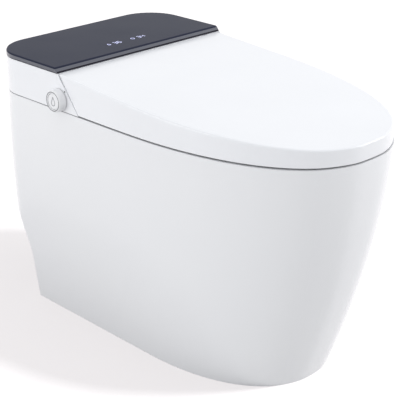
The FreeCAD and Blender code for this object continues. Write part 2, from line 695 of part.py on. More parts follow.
def bevel_cut():
    """Space in front of the sloping front face of the panel."""
    return across([(PART_TOP_Y - 1, UNIT_Z), (PART_TOP_Y, UNIT_Z), (PART_TOP_Y + PANEL_BEVEL, PANEL_TOP),
                   (PART_TOP_Y + PANEL_BEVEL, PANEL_TOP + 1), (PART_TOP_Y - 1, PANEL_TOP + 1)],
                  -RIM_HALF - 1, RIM_HALF + 1)


def top_panel():
    low = unit_wire(UNIT_Z + FRAME_H, 0, PART_TOP_Y)
    high = unit_wire(PANEL_TOP, PANEL_INSET, PART_TOP_Y + PANEL_INSET)
    return round_front_corners(Part.makeLoft([low, high], True, True).cut(bevel_cut()))


# ================================================================ hinge
def hinge_brackets():
    low = HINGE_Z - RELIEF_R
    front = HINGE_Y - NOSE_R
    step = HINGE_Y + BRACKET_STEP
    rear = HINGE_Y + BRACKET_REACH
    neck = HINGE_Y + BRACKET_NECK
    plate = across([(front, HINGE_Z), (front, low), (step, low - 14), (step, TRAY_TOP), (rear, TRAY_TOP),
                    (rear, TRAY_TOP + BRACKET_FOOT_H), (HINGE_Y + BRACKET_GUSSET, low - 8), (neck, low),
                    (neck, HINGE_Z)], BRACKET_X, BRACKET_X + BRACKET_T)
    plate = plate.fuse(hinge_rod(NOSE_R, BRACKET_X, BRACKET_X + BRACKET_T)).removeSplitter()
    plate = plate.cut(hinge_rod(PIN_R, BRACKET_X - 1, BRACKET_X + BRACKET_T + 1))
    return both_sides(plate)


def hinge_pins():
    return both_sides(hinge_rod(PIN_R, ARM_X + 1, BOSS_X + BOSS_T))


def drive(x0, x1):
    rear = HINGE_Y + DRIVE_REAR
    case = box(x0, x1, HINGE_Y + DRIVE_FRONT, rear, FLOOR_Z, UNIT_Z - DRIVE_HEADROOM)
    motor = rod((x0 + x1) / 2, rear, FLOOR_Z + DRIVE_MOTOR_UP, DRIVE_MOTOR_R, DRIVE_MOTOR_LEN, Y_AXIS)
    return case.makeFillet(2.0, case.Edges).fuse(motor)


def lid_drive():
    return drive(DRIVE_X, BRACKET_X - 0.3)


def seat_drive():
    return mirrored(lid_drive())


# ================================================================ lid
def lid_wire(z, inset):
    up = (z - LID_LOW_Z) / (UNIT_Z - LID_LOW_Z)
    lean = 0.5 + LID_DRAFT * up + inset
    return u_wire(z, RIM_HALF - lean, lean - RIM_FRONT, ROUGH_IN, RIM_SHOULDER, RIM_POWER - 0.05, 40.0)


def below_lid_top(drop):
    """Half space under the sloping lid top, moved down by drop."""
    fall = math.tan(math.radians(LID_SLOPE))
    back = LID_BACK_Z - drop + fall * 40
    front = LID_BACK_Z - drop - fall * (LID_BACK_Y + RIM_FRONT + 20)
    return across([(LID_BACK_Y + 40, RIM_Z - 10), (LID_BACK_Y + 40, back),
                   (-RIM_FRONT - 20, front), (-RIM_FRONT - 20, RIM_Z - 10)], -RIM_HALF - 5, RIM_HALF + 5)


def lid_rear_limit():
    """Space that the lid may fill at its rear: in front of the parting line, or round the hinge axis."""
    front = -RIM_FRONT - 20
    wedge = across([(part_line_y(RIM_Z) - LID_GAP_Y, RIM_Z), (front, RIM_Z), (front, UNIT_Z + 1),
                    (part_line_y(UNIT_Z + 1) - LID_GAP_Y, UNIT_Z + 1)], -RIM_HALF - 1, RIM_HALF + 1)
    return wedge.fuse(hinge_rod(LID_BARREL_R, -RIM_HALF - 1, RIM_HALF + 1))


def lid_shell():
    levels = (LID_LOW_Z, UNIT_Z + 4)
    outer = Part.makeLoft([lid_wire(z, 0) for z in levels], True, True).common(below_lid_top(0))
    top_edges = [edge for edge in outer.Edges
                 if edge.BoundBox.ZMin > LID_LOW_Z + 20 and edge.BoundBox.YMin < 60
                 and edge.BoundBox.ZLength < 60 and edge.BoundBox.YMax < LID_BACK_Y + 45]
    outer = outer.makeFillet(LID_EDGE_R, top_edges)
    inner = Part.makeLoft([lid_wire(z, SHELL) for z in (LID_LOW_Z - 1, UNIT_Z + 4)], True, True)
    inner = inner.common(below_lid_top(SHELL))
    limit = lid_rear_limit()
    shell = outer.common(limit).cut(inner)
    lip = hinge_rod(LID_BARREL_R, -LIP_HALF, LIP_HALF)
    lip = lip.cut(hinge_rod(LID_BARREL_R - SHELL, -LIP_HALF, LIP_HALF))
    lip = lip.common(box(-LIP_HALF, LIP_HALF, HINGE_Y + 1, LID_BACK_Y + 9, HINGE_Z - 3, LID_BACK_Z))
    boss = hinge_rod(KNUCKLE_R, BOSS_X, BOSS_X + BOSS_T)
    web = box(BOSS_X, BOSS_X + BOSS_T, HINGE_Y - 14, HINGE_Y + 1, HINGE_Z - 2, HINGE_Z + 8)
    boss = boss.fuse(web.common(below_lid_top(1)))
    bore = hinge_rod(PIN_R + RUNNING, BOSS_X - 1, BOSS_X + BOSS_T + 1)
    shell = shell.fuse(lip).fuse(boss).fuse(mirrored(boss))
    return shell.cut(bore).cut(mirrored(bore)).removeSplitter()


def lid_under(y):
    """Height of the lid's inner surface on the centre line."""
    slope = math.radians(LID_SLOPE)
    return LID_BACK_Z - SHELL / math.cos(slope) - (LID_BACK_Y - y) * math.tan(slope)


def seat_top(y):
    """Height of the sloping seat top."""
    share = (y - SEAT_FRONT) / (SEAT_REAR - SEAT_FRONT)
    return RIM_Z + SEAT_TOP_FRONT + (SEAT_TOP_REAR - SEAT_TOP_FRONT) * share


def lid_bumpers():
    pads = []
    for x, y in LID_PADS:
        low = seat_top(y) + LID_PAD_CLEAR
        pad = rod(x, y, low, LID_PAD_R, lid_under(y) - low + SHELL).common(below_lid_top(SHELL))
        pads += [pad, mirrored(pad)]
    return Part.makeCompound(pads)


# ================================================================ seat
def seat_wire(z, inset):
    return u_wire(z, SEAT_HALF - inset, SEAT_FRONT + inset, SEAT_REAR - inset, RIM_SHOULDER,
                  RIM_POWER - 0.05, 30.0 - inset)


def seat_hole(z0, z1, grow0, grow1):
    wires = [egg_wire(z, SEAT_HOLE_HALF + g, SEAT_HOLE_FRONT - g, SEAT_HOLE_REAR + g, 2.2)
             for z, g in ((z0, grow0), (z1, grow1))]
    return Part.makeLoft(wires, True, True)


def below_seat_top():
    front = SEAT_FRONT - 10
    back = SEAT_REAR + 10
    return across([(back, RIM_Z), (back, seat_top(back)), (front, seat_top(front)), (front, RIM_Z)],
                  -RIM_HALF, RIM_HALF)


def seat_lower_shell():
    low = RIM_Z + SEAT_LOW
    plate = prism(seat_wire(low, 1.0), SEAT_PLATE)
    plate = plate.cut(seat_hole(low - 1, low + SEAT_PLATE + 1, 0, 0))
    for x, y in SEAT_PADS:
        pocket = rod(x, y, low - 1, PAD_R, PAD_DEPTH + 1)
        plate = plate.cut(pocket).cut(mirrored(pocket))
    return plate


def seat_upper_shell():
    low = RIM_Z + SEAT_LOW + SEAT_PLATE
    high = RIM_Z + SEAT_TOP_REAR + 4
    outer = Part.makeLoft([seat_wire(low, 0), seat_wire(high, 3.0)], True, True).common(below_seat_top())
    top_edges = [edge for edge in outer.Edges if edge.BoundBox.ZMin > low + 5 and edge.BoundBox.XLength > 4]
    outer = outer.makeFillet(5.0, top_edges)
    ring = outer.cut(seat_hole(low - 1, high, 0, SEAT_FLARE))
    channel = seat_channel(low)
    arm = across([(SEAT_REAR - 16, low), (SEAT_REAR - 2, low), (HINGE_Y - 10, HINGE_Z - 11.5),
                  (HINGE_Y + 1, HINGE_Z - 4.4), (HINGE_Y - 3.2, HINGE_Z + 3.2),
                  (SEAT_REAR - 2, seat_top(SEAT_REAR)), (SEAT_REAR - 16, seat_top(SEAT_REAR) - 4)],
                 ARM_X, ARM_X + ARM_T)
    arm = arm.fuse(hinge_rod(KNUCKLE_R, ARM_X, ARM_X + ARM_T))
    ring = ring.cut(channel).fuse(arm).fuse(mirrored(arm))
    bore = hinge_rod(PIN_R + RUNNING, ARM_X - 1, ARM_X + ARM_T + 1)
    return ring.cut(bore).cut(mirrored(bore)).removeSplitter()


def seat_channel(low):
    """Hollow under the seat's top that holds the heating film."""
    band = prism(egg_wire(low, HEAT_HALF, HEAT_FRONT, HEAT_REAR, 2.2), HEAT_H)
    return band.cut(prism(egg_wire(low, HEAT_HALF - HEAT_BAND, HEAT_FRONT + HEAT_BAND,
                                   HEAT_REAR - HEAT_BAND, 2.2), HEAT_H))


def seat_heater():
    return seat_channel(RIM_Z + SEAT_LOW + SEAT_PLATE)


def seat_bumpers():
    pads = []
    for x, y in SEAT_PADS:
        pad = rod(x, y, RIM_Z + BUMPER_CLEAR, PAD_R, SEAT_LOW - BUMPER_CLEAR + PAD_DEPTH)
        pads += [pad, mirrored(pad)]
    return Part.makeCompound(pads)


# ================================================================ nozzles
def nozzle_x(side):
    return side * NOZZLE_PITCH / 2


def nozzle(side, holes):
    body = rod(nozzle_x(side), 0, 0, NOZZLE_R, NOZZLE_LEN, Y_AXIS)
    spray_y = NOZZLE_R + SPRAY_BACK
    spray_z = NOZZLE_R - SPRAY_DEPTH
    body = body.cut(rod(nozzle_x(side), spray_y, spray_z, SPRAY_R, 2 * SPRAY_DEPTH))
    for i in range(holes):
        turn = 2 * math.pi * i / holes
        x = nozzle_x(side) + SPRAY_CIRCLE * math.cos(turn)
        y = spray_y + SPRAY_CIRCLE * math.sin(turn)
        body = body.cut(rod(x, y, spray_z - SPRAY_HOLE_DEPTH, SPRAY_HOLE_R, SPRAY_HOLE_DEPTH + 1))
    rack = box(nozzle_x(side) - RACK_HALF, nozzle_x(side) + RACK_HALF, RACK_START, NOZZLE_LEN,
               -NOZZLE_R - RACK_H, -NOZZLE_R + RACK_SUNK)
    return nozzle_frame(body.fuse(rack).removeSplitter())


def wash_nozzle():
    return nozzle(-1, WASH_HOLES)


def feminine_nozzle():
    return nozzle(1, FEMININE_HOLES)


def nozzle_cradle():
    half = NOZZLE_PITCH / 2 + NOZZLE_R + CRADLE_SIDE
    low = -NOZZLE_R - RACK_H - NOZZLE_CLEAR
    high = NOZZLE_R + NOZZLE_CLEAR
    front = CRADLE_FRONT - 1
    back = NOZZLE_LEN + CRADLE_BACK
    block = box(-half, half, CRADLE_FRONT, back, low - CRADLE_WALL, high + CRADLE_WALL)
    leg = box(-half, half, CRADLE_LEG_Y, CRADLE_LEG_Y + CRADLE_LEG_D, FLOOR_Z, FLOOR_Z + CRADLE_LEG_H)
    cradle = nozzle_frame(block).fuse(leg)
    for side in (1, -1):
        x = nozzle_x(side)
        bore = rod(x, front, 0, high, back + 1 - front, Y_AXIS)
        slot = box(x - RACK_HALF - NOZZLE_CLEAR, x + RACK_HALF + NOZZLE_CLEAR, front, back + 1, low, 0)
        cradle = cradle.cut(nozzle_frame(bore)).cut(nozzle_frame(slot))
    return cradle.removeSplitter()


def nozzle_motors():
    y = CRADLE_LEG_Y + NOZZLE_MOTOR_BACK
    case = rod(NOZZLE_MOTOR_X, y, FLOOR_Z, NOZZLE_MOTOR_R, NOZZLE_MOTOR_H)
    return both_sides(case.fuse(rod(NOZZLE_MOTOR_X, y, FLOOR_Z + NOZZLE_MOTOR_H, PINION_R, PINION_H)))


# ================================================================ warm air and odour fans
def duct_profile(shrink):
    return [(DUCT_MOUTH_Y - 1 + (0 if shrink else 1), DUCT_MOUTH_LOW + shrink),
            (RECESS_REAR + 9, FLOOR_Z + 0.3 + shrink), (FAN_Y, FLOOR_Z + 0.3 + shrink),
            (FAN_Y, FLOOR_Z + FAN_CASE_H - shrink), (RECESS_REAR + 14, FLOOR_Z + FAN_CASE_H - shrink),
            (DUCT_MOUTH_Y - 1 + (0 if shrink else 1), DUCT_MOUTH_HIGH - shrink)]


def duct():
    whole = across(duct_profile(0), DUCT_IN_X, DUCT_OUT_X)
    return whole.cut(across(duct_profile(DUCT_WALL), DUCT_IN_X + DUCT_WALL, DUCT_OUT_X - DUCT_WALL))


def fan_case(hub_hole):
    height = FAN_CASE_H
    case = rod(FAN_X, FAN_Y, FLOOR_Z, FAN_CASE_R, height)
    case = case.cut(rod(FAN_X, FAN_Y, FLOOR_Z + DUCT_WALL, FAN_CASE_R - DUCT_WALL, height - 2 * DUCT_WALL))
    return case.cut(rod(FAN_X, FAN_Y, FLOOR_Z + height - 3, hub_hole, 4))


def dryer_duct():
    shape = duct().cut(rod(FAN_X, FAN_Y, FLOOR_Z - 1, FAN_CASE_R + 0.3, FAN_CASE_H + 2))
    ears = []
    for x in (DUCT_IN_X, DUCT_OUT_X - 1.5):
        ear = box(x, x + 1.5, FLAP_Y - 2.6, DUCT_MOUTH_Y, FLAP_Z - 2.6, FLAP_Z + 2.6)
        ears.append(ear.cut(rod(x - 1, FLAP_Y, FLAP_Z, FLAP_PIN_R + RUNNING, 4, X_AXIS)))
    return shape.fuse(ears[0]).fuse(ears[1]).removeSplitter()


def dryer_flap():
    x0 = DUCT_IN_X + 1.5 + 0.3
    x1 = DUCT_OUT_X - 1.5 - 0.3
    leaf = box(x0, x1, FLAP_Y - FLAP_T / 2, FLAP_Y + FLAP_T / 2, DUCT_MOUTH_LOW + 0.5, FLAP_Z)
    barrel = rod(x0, FLAP_Y, FLAP_Z, 1.8, x1 - x0, X_AXIS)
    pin = rod(DUCT_IN_X, FLAP_Y, FLAP_Z, FLAP_PIN_R, DUCT_OUT_X - DUCT_IN_X, X_AXIS)
    return leaf.fuse(barrel).fuse(pin).removeSplitter()


def blower_housing():
    case = fan_case(4.0)
    mouth = box(DUCT_IN_X + DUCT_WALL, DUCT_OUT_X - DUCT_WALL, FAN_Y - FAN_CASE_R - 5, FAN_Y,
                FLOOR_Z + DUCT_WALL + 0.3, FLOOR_Z + FAN_CASE_H - DUCT_WALL)
    return case.cut(mouth)


def impeller(radius, blades):
    low = FLOOR_Z + DUCT_WALL + 1.5
    high = FLOOR_Z + FAN_CASE_H - DUCT_WALL - 1.5
    wheel = rod(FAN_X, FAN_Y, low, radius, 1.6)
    wheel = wheel.fuse(rod(FAN_X, FAN_Y, low, 6, high - low))
    for i in range(blades):
        blade = box(radius * 0.62, radius, -0.6, 0.6, low, high)
        blade.rotate(Vec(radius, 0, 0), Z_AXIS, 35)
        blade.rotate(Vec(0, 0, 0), Z_AXIS, 360.0 * i / blades)
        blade.translate(Vec(FAN_X, FAN_Y, 0))
        wheel = wheel.fuse(blade)
    return wheel.cut(rod(FAN_X, FAN_Y, low + 3, SHAFT_R + RUNNING, high)).removeSplitter()


def dryer_impeller():
    return impeller(FAN_R, FAN_BLADES)


def fan_motor(height):
    base = FLOOR_Z + FAN_CASE_H
    shaft = rod(FAN_X, FAN_Y, FLOOR_Z + DUCT_WALL + 6, SHAFT_R, base - FLOOR_Z - DUCT_WALL - 6)
    return rod(FAN_X, FAN_Y, base, 17, height).fuse(shaft)


def dryer_motor():
    return fan_motor(24)


def deodorizer_housing():
    duct_part = duct().cut(rod(FAN_X, FAN_Y, FLOOR_Z - 1, FAN_CASE_R - 0.1, FAN_CASE_H + 2))
    whole = duct_part.fuse(blower_housing())
    for i in range(5):
        bar = box(DUCT_IN_X + 5 + 7 * i, DUCT_IN_X + 7 + 7 * i, DUCT_MOUTH_Y, DUCT_MOUTH_Y + 2,
                  DUCT_MOUTH_LOW, DUCT_MOUTH_HIGH)
        whole = whole.fuse(bar)
    return mirrored(whole.removeSplitter())


def deodorizer_fan():
    return mirrored(impeller(FAN_R - 4, 9))


def deodorizer_motor():
    return mirrored(fan_motor(16))


def carbon_cartridge():
    low = FLOOR_Z + 0.3 + DUCT_WALL
    block = box(DUCT_IN_X + DUCT_WALL + 0.3, DUCT_OUT_X - DUCT_WALL - 0.3, CARBON_Y, CARBON_Y + 24,
                low, FLOOR_Z + FAN_CASE_H - DUCT_WALL - 0.3)
    for i in range(4):
        block = block.cut(rod(DUCT_IN_X + 9 + 8 * i, CARBON_Y - 1, low + 8, 2.5, 26, Y_AXIS))
    return mirrored(block)


# ================================================================ water side
def buffer_tank():
    tank = box(-TUB_HALF + 8, -8, TUB_FRONT + 8, TUB_REAR - 8, TUB_Z + SHELL, TRAY_TOP - 40)
    tank = tank.makeFillet(10, [e for e in tank.Edges if e.BoundBox.ZLength > 50])
    hollow = box(-TUB_HALF + 11, -11, TUB_FRONT + 11, TUB_REAR - 11, TUB_Z + SHELL + 3, TRAY_TOP - 43)
    return tank.cut(hollow)


def flush_pump():
    volute = rod(PUMP_X, PUMP_Y, TUB_Z + SHELL, 34, 40)
    outlet = rod(PUMP_X, TUB_FRONT + SHELL + 6, HOSE_Z, HOSE_R + 2.5, PUMP_Y - TUB_FRONT - SHELL - 10, Y_AXIS)
    suction = rod(-8, PUMP_Y, TUB_Z + SHELL + 16, 9, PUMP_X - 30 + 8, X_AXIS)
    return volute.fuse(outlet).fuse(suction).removeSplitter()


def pump_motor():
    base = TUB_Z + SHELL + 40
    motor = rod(PUMP_X, PUMP_Y, base, 27, 64)
    for i in range(10):
        fin = box(26, 30, -1, 1, base + 6, base + 56)
        fin.rotate(Vec(0, 0, 0), Z_AXIS, 36 * i)
        fin.translate(Vec(PUMP_X, PUMP_Y, 0))
        motor = motor.fuse(fin)
    return motor.removeSplitter()


def flush_hose():
    points = [Vec(PUMP_X, TUB_FRONT + SHELL + 6, HOSE_Z), Vec(PUMP_X, HOSE_BEND_Y, HOSE_Z),
              Vec(0, HOSE_BEND_Y, FLUSH_PORT_Z - 20), Vec(0, BOWL_REAR + 14, FLUSH_PORT_Z)]
    return hose(points, HOSE_R, HOSE_R - 2, 24)


def inlet_valve():
    body = rod(VALVE_X, VALVE_Y, TUB_Z - VALVE_DROP, VALVE_R, VALVE_DROP)
    body = body.fuse(rod(VALVE_X, VALVE_Y, TUB_Z, VALVE_R - 4.5, 30))
    coil = rod(VALVE_X - VALVE_R - 22, VALVE_Y, TUB_Z - VALVE_DROP / 2, 10, 30, X_AXIS)
    return body.fuse(coil).removeSplitter()


def water_inlet_connector():
    z = TUB_Z - VALVE_DROP + 14
    stub = pipe(VALVE_X, VALVE_Y + VALVE_R, z, INLET_R, INLET_R - 3, INLET_LEN, Y_AXIS)
    collar = Part.makeCylinder(INLET_R + 4, 6, Vec(VALVE_X, VALVE_Y + VALVE_R, z), Y_AXIS)
    return stub.fuse(collar.cut(rod(VALVE_X, VALVE_Y, z, INLET_R - 3, 60, Y_AXIS))).removeSplitter()


def supply_hose():
    points = [Vec(VALVE_X, VALVE_Y, TUB_Z + 30), Vec(VALVE_X, VALVE_Y, FLOOR_Z + 12),
              Vec(HEATER_HALF, VALVE_Y, FLOOR_Z + 12)]
    return hose(points, 5.0, 3.5, 11)


def water_heater():
    block = box(-HEATER_HALF, HEATER_HALF, HEATER_Y, HEATER_Y + 40, FLOOR_Z, FLOOR_Z + 30)
    block = block.makeFillet(5, [e for e in block.Edges if e.BoundBox.ZLength > 20])
    for i in range(6):
        x = -HEATER_HALF + 12 + 16 * i
        block = block.cut(box(x, x + 3, HEATER_Y - 1, HEATER_Y + 41, FLOOR_Z + 26, FLOOR_Z + 31))
    return block


def wash_hose():
    points = [Vec(0, HEATER_Y, FLOOR_Z + 14), Vec(0, CRADLE_LEG_Y + 19.5, FLOOR_Z + 14)]
    ring = Part.makeCylinder(4, points[0].y - points[1].y, points[1], Y_AXIS)
    return ring.cut(Part.makeCylinder(2.6, points[0].y - points[1].y, points[1], Y_AXIS))


def cable_gland():
    body = rod(GLAND_X, GLAND_Y, TUB_Z - 18, GLAND_R + 4, 18)
    body = body.fuse(rod(GLAND_X, GLAND_Y, TUB_Z, GLAND_R, SHELL))
    return body.cut(rod(GLAND_X, GLAND_Y, TUB_Z - 19, GLAND_BORE_R, 40))


# ================================================================ electrics
def board(x0, x1, y0, y1, z, chips):
    top = z + BOARD_T
    plate = box(x0, x1, y0, y1, z, top)
    for x, y, w, d, h in chips:
        plate = plate.fuse(box(x, x + w, y, y + d, top, top + h))
    return plate.removeSplitter()


def control_board():
    """Board on four posts; the outer posts stand on the tray, beside the tub cover."""
    under = FLOOR_Z + BOARD_POST_H
    posts = []
    for x in (BOARD_X + BOARD_EDGE, BOARD_X + BOARD_W - BOARD_EDGE):
        low = FLOOR_Z if x < TUB_HALF else TRAY_TOP
        for y in (BOARD_Y + BOARD_EDGE, BOARD_Y + BOARD_D - BOARD_EDGE):
            posts.append(rod(x, y, low, 3, under - low))
    chips = [(BOARD_X + x, BOARD_Y + y, w, d, h) for x, y, w, d, h in CONTROL_CHIPS]
    return fused([board(BOARD_X, BOARD_X + BOARD_W, BOARD_Y, BOARD_Y + BOARD_D, under, chips)] + posts)


def power_supply():
    """Ventilated case opposite the board, on a foot beside the tub cover and one on it."""
    outer = -BOARD_X - BOARD_W
    low = FLOOR_Z + SUPPLY_FOOT_H
    top = FLOOR_Z + SUPPLY_H
    case = box(outer, -BOARD_X, BOARD_Y, BOARD_Y + BOARD_D, low, top)
    for i in range(SUPPLY_SLOTS):
        x = outer + BOARD_EDGE + 2 * SLOT_W * i
        case = case.cut(box(x, x + SLOT_W, BOARD_Y + 6, BOARD_Y + BOARD_D - 6, top - 2, top + 1))
    y0, y1 = BOARD_Y + 5, BOARD_Y + BOARD_D - 5
    case = case.fuse(box(outer + 4, outer + 16, y0, y1, TRAY_TOP, low))
    return case.fuse(box(outer + 26, -BOARD_X - 4, y0, y1, FLOOR_Z, low)).removeSplitter()


def display_board():
    """Board whose two displays press up against the web of the panel frame."""
    front = PART_TOP_Y + DISPLAY_SETBACK
    low = UNIT_Z + FRAME_H - FRAME_DECK - DISPLAY_H - BOARD_T
    digits = [(x, front + 4, DISPLAY_W, DISPLAY_D, DISPLAY_H) for x in (-48, 14)]
    return board(-DISPLAY_HALF, DISPLAY_HALF, front, front + 26, low, digits)


# ================================================================ knob
def knob_ring():
    out = -RIM_HALF
    tip = out - KNOB_REACH
    floor = tip + BUTTON_RECESS
    web = floor + KNOB_WALL
    hub = out + KNOB_HUB_END
    bore_r = KNOB_STEM_R + KNOB_CLEAR
    skirt_r = KNOB_R - KNOB_WALL
    profile = [(out - KNOB_GAP, KNOB_R), (tip + 2, KNOB_R - 0.6), (tip, KNOB_R - 2.4), (tip, KNOB_FACE_R),
               (floor, KNOB_FACE_R), (floor, bore_r), (hub, bore_r), (hub, KNOB_HUB_R), (web, KNOB_HUB_R),
               (web, skirt_r), (out - KNOB_GAP, skirt_r)]
    return turned(profile, KNOB_Y, KNOB_Z)


def knob_button():
    out = -RIM_HALF
    tip = out - KNOB_REACH
    edge = KNOB_FACE_R - KNOB_CLEAR
    back = tip + BUTTON_T
    stem = out + BUTTON_STEM_END
    profile = [(tip + 1.4, 0), (tip + 0.6, edge - 1.6), (tip + 1.2, edge), (back, edge), (back, KNOB_STEM_R),
               (stem, KNOB_STEM_R), (stem, 0)]
    return turned(profile, KNOB_Y, KNOB_Z)


def knob_switch():
    out = -RIM_HALF
    inner = out + SWITCH_COLLAR_LEN
    collar = pipe(out + 0.2, KNOB_Y, KNOB_Z, COLLAR_R, KNOB_HUB_R + RUNNING, SWITCH_COLLAR_LEN, X_AXIS)
    base = rod(inner, KNOB_Y, KNOB_Z, SWITCH_R, SWITCH_LEN, X_AXIS)
    foot = box(inner, inner + SWITCH_FOOT_T, KNOB_Y - SWITCH_FOOT_HALF, KNOB_Y + SWITCH_FOOT_HALF,
               TRAY_TOP, KNOB_Z - 6)
    return fused([collar, base, foot])


PARTS = [
    ceramic_body, outlet_seal, rim_gasket, chassis_tray, chassis_bolts, tub_cover, rear_housing,
    housing_screws, panel_frame, top_panel, hinge_brackets, hinge_pins, lid_drive, seat_drive, lid_shell,
    lid_bumpers, seat_lower_shell, seat_upper_shell, seat_heater, seat_bumpers, wash_nozzle,
    feminine_nozzle, nozzle_cradle, nozzle_motors, dryer_duct, dryer_flap, blower_housing,
    dryer_impeller, dryer_motor, deodorizer_housing, deodorizer_fan, deodorizer_motor, carbon_cartridge,
    buffer_tank, flush_pump, pump_motor, flush_hose, inlet_valve, water_inlet_connector, supply_hose,
    water_heater, wash_hose, cable_gland, control_board, power_supply, display_board, night_light,
    knob_ring, knob_button, knob_switch,
]

os.makedirs("parts", exist_ok=True)
for make in PARTS:
    shape = make()
    print(make.__name__, shape.isValid(), len(shape.Solids), round(shape.Volume / 1000, 1), "cm3")
    shape.exportStep("parts/" + make.__name__ + ".step")
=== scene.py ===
"""Looks of the smart toilet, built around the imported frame. Metres."""

import json
import math

import bmesh
import bpy
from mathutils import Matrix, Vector


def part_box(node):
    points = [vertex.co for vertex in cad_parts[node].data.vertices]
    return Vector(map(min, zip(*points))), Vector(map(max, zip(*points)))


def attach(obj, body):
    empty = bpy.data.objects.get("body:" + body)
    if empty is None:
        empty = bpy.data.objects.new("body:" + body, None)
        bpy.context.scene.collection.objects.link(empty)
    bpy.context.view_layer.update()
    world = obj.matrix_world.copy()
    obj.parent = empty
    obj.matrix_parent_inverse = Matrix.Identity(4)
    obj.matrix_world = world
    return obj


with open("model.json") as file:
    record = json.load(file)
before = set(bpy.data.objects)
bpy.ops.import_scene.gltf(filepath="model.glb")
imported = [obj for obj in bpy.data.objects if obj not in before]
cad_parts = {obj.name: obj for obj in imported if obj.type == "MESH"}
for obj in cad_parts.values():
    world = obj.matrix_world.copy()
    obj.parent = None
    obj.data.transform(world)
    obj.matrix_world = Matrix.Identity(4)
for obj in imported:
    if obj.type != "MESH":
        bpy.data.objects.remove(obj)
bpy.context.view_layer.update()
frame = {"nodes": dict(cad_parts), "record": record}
NODES = frame["nodes"]

# ------------------------------------------------------------------ camera, fitted to the photograph
PHOTO_WIDTH_PX = 400
FOCAL_PX = 1145.5
SENSOR_MM = 36.0
CAMERA_AT = Vector((-1.36115, -1.40304, 1.08577))
CAMERA_TARGET = Vector((0.00619, -0.03047, 0.24568))
CLIP_START, CLIP_END = 0.05, 60.0


def make_camera():
    """The photograph's camera."""
    data = bpy.data.cameras.new("camera")
    data.sensor_width = SENSOR_MM
    data.lens = SENSOR_MM * FOCAL_PX / PHOTO_WIDTH_PX
    data.clip_start, data.clip_end = CLIP_START, CLIP_END
    camera = bpy.data.objects.new("camera", data)
    bpy.context.collection.objects.link(camera)
    camera.location = CAMERA_AT
    camera.rotation_mode = "QUATERNION"
    camera.rotation_quaternion = (CAMERA_TARGET - CAMERA_AT).to_track_quat("-Z", "Y")
    bpy.context.scene.camera = camera


# ------------------------------------------------------------------ materials
EDGE_SOFTNESS = 0.0008
EDGE_SAMPLES = 4
NOISE_LOW, NOISE_HIGH = 0.3, 0.7            # middle range of a noise value


class Shader:
    """A principled material and the few nodes that the finishes below share."""

    def __init__(self, name, color, roughness, **sockets):
        self.material = bpy.data.materials.new(name)
        self.material.use_nodes = True
        self.tree = self.material.node_tree
        self.bsdf = self.tree.nodes["Principled BSDF"]
        self.color = (*color, 1.0)
        self.bsdf.inputs["Base Color"].default_value = self.color
        self.bsdf.inputs["Roughness"].default_value = roughness
        for socket, value in sockets.items():
            self.bsdf.inputs[socket.replace("_", " ")].default_value = value
        self.place = self.tree.nodes.new("ShaderNodeTexCoord").outputs["Object"]
        self.height = self.soft_edges()

    def soft_edges(self):
        """Normal that rounds sharp edges a little, as a mould or a glaze does."""
        bevel = self.node("ShaderNodeBevel", samples=EDGE_SAMPLES)
        bevel.inputs["Radius"].default_value = EDGE_SOFTNESS
        return bevel.outputs["Normal"]

    def node(self, kind, **settings):
        made = self.tree.nodes.new(kind)
        for key, value in settings.items():
            setattr(made, key, value)
        return made

    def link(self, source, target):
        self.tree.links.new(source, target)

    def noise(self, scale, detail=3.0, stretch=(1, 1, 1)):
        """Noise value over the object's own coordinates."""
        mapping = self.node("ShaderNodeMapping")
        mapping.inputs["Scale"].default_value = stretch
        self.link(self.place, mapping.inputs["Vector"])
        noise = self.node("ShaderNodeTexNoise")
        noise.inputs["Scale"].default_value = scale
        noise.inputs["Detail"].default_value = detail
        self.link(mapping.outputs["Vector"], noise.inputs["Vector"])
        return noise.outputs["Fac"]

    def spread(self, value, low, high):
        """The value's middle range mapped to low..high."""
        spread = self.node("ShaderNodeMapRange")
        spread.inputs["From Min"].default_value = NOISE_LOW
        spread.inputs["From Max"].default_value = NOISE_HIGH
        spread.inputs["To Min"].default_value = low
        spread.inputs["To Max"].default_value = high
        self.link(value, spread.inputs["Value"])
        return spread.outputs["Result"]

    def vary_roughness(self, value, low, high):
        self.link(self.spread(value, low, high), self.bsdf.inputs["Roughness"])

    def vary_color(self, value, other, amount=1.0):
        """Base colour drifts towards other where the value is high."""
        mix = self.node("ShaderNodeMix", data_type="RGBA")
        mix.inputs[6].default_value = self.color
        mix.inputs[7].default_value = (*other, 1.0)
        self.link(self.spread(value, 0.0, amount), mix.inputs["Factor"])
        self.link(mix.outputs[2], self.bsdf.inputs["Base Color"])

    def bump(self, value, depth, strength=1.0):
        """Adds relief of a real depth in metres; several calls stack."""
        bump = self.node("ShaderNodeBump")
        bump.inputs["Distance"].default_value = depth
        bump.inputs["Strength"].default_value = strength
        self.link(value, bump.inputs["Height"])
        self.link(self.height, bump.inputs["Normal"])
        self.height = bump.outputs["Normal"]
        self.link(self.height, self.bsdf.inputs["Normal"])


def shade(color, share):
    """The colour made darker or lighter."""
    return tuple(channel * share for channel in color)


def glaze():
    """Vitreous glaze: clear coat over white body, faint waviness of a fired surface."""
    m = Shader("glazed_ceramic", (0.83, 0.835, 0.85), 0.16, Coat_Weight=0.1, Coat_Roughness=0.04,
               Specular_IOR_Level=0.35)
    m.bump(m.noise(9.0, 1.0), 0.00035, 0.35)
    m.vary_color(m.noise(3.0, 2.0), (0.815, 0.82, 0.84))
    m.vary_roughness(m.noise(60.0, 4.0), 0.13, 0.19)
    return m.material


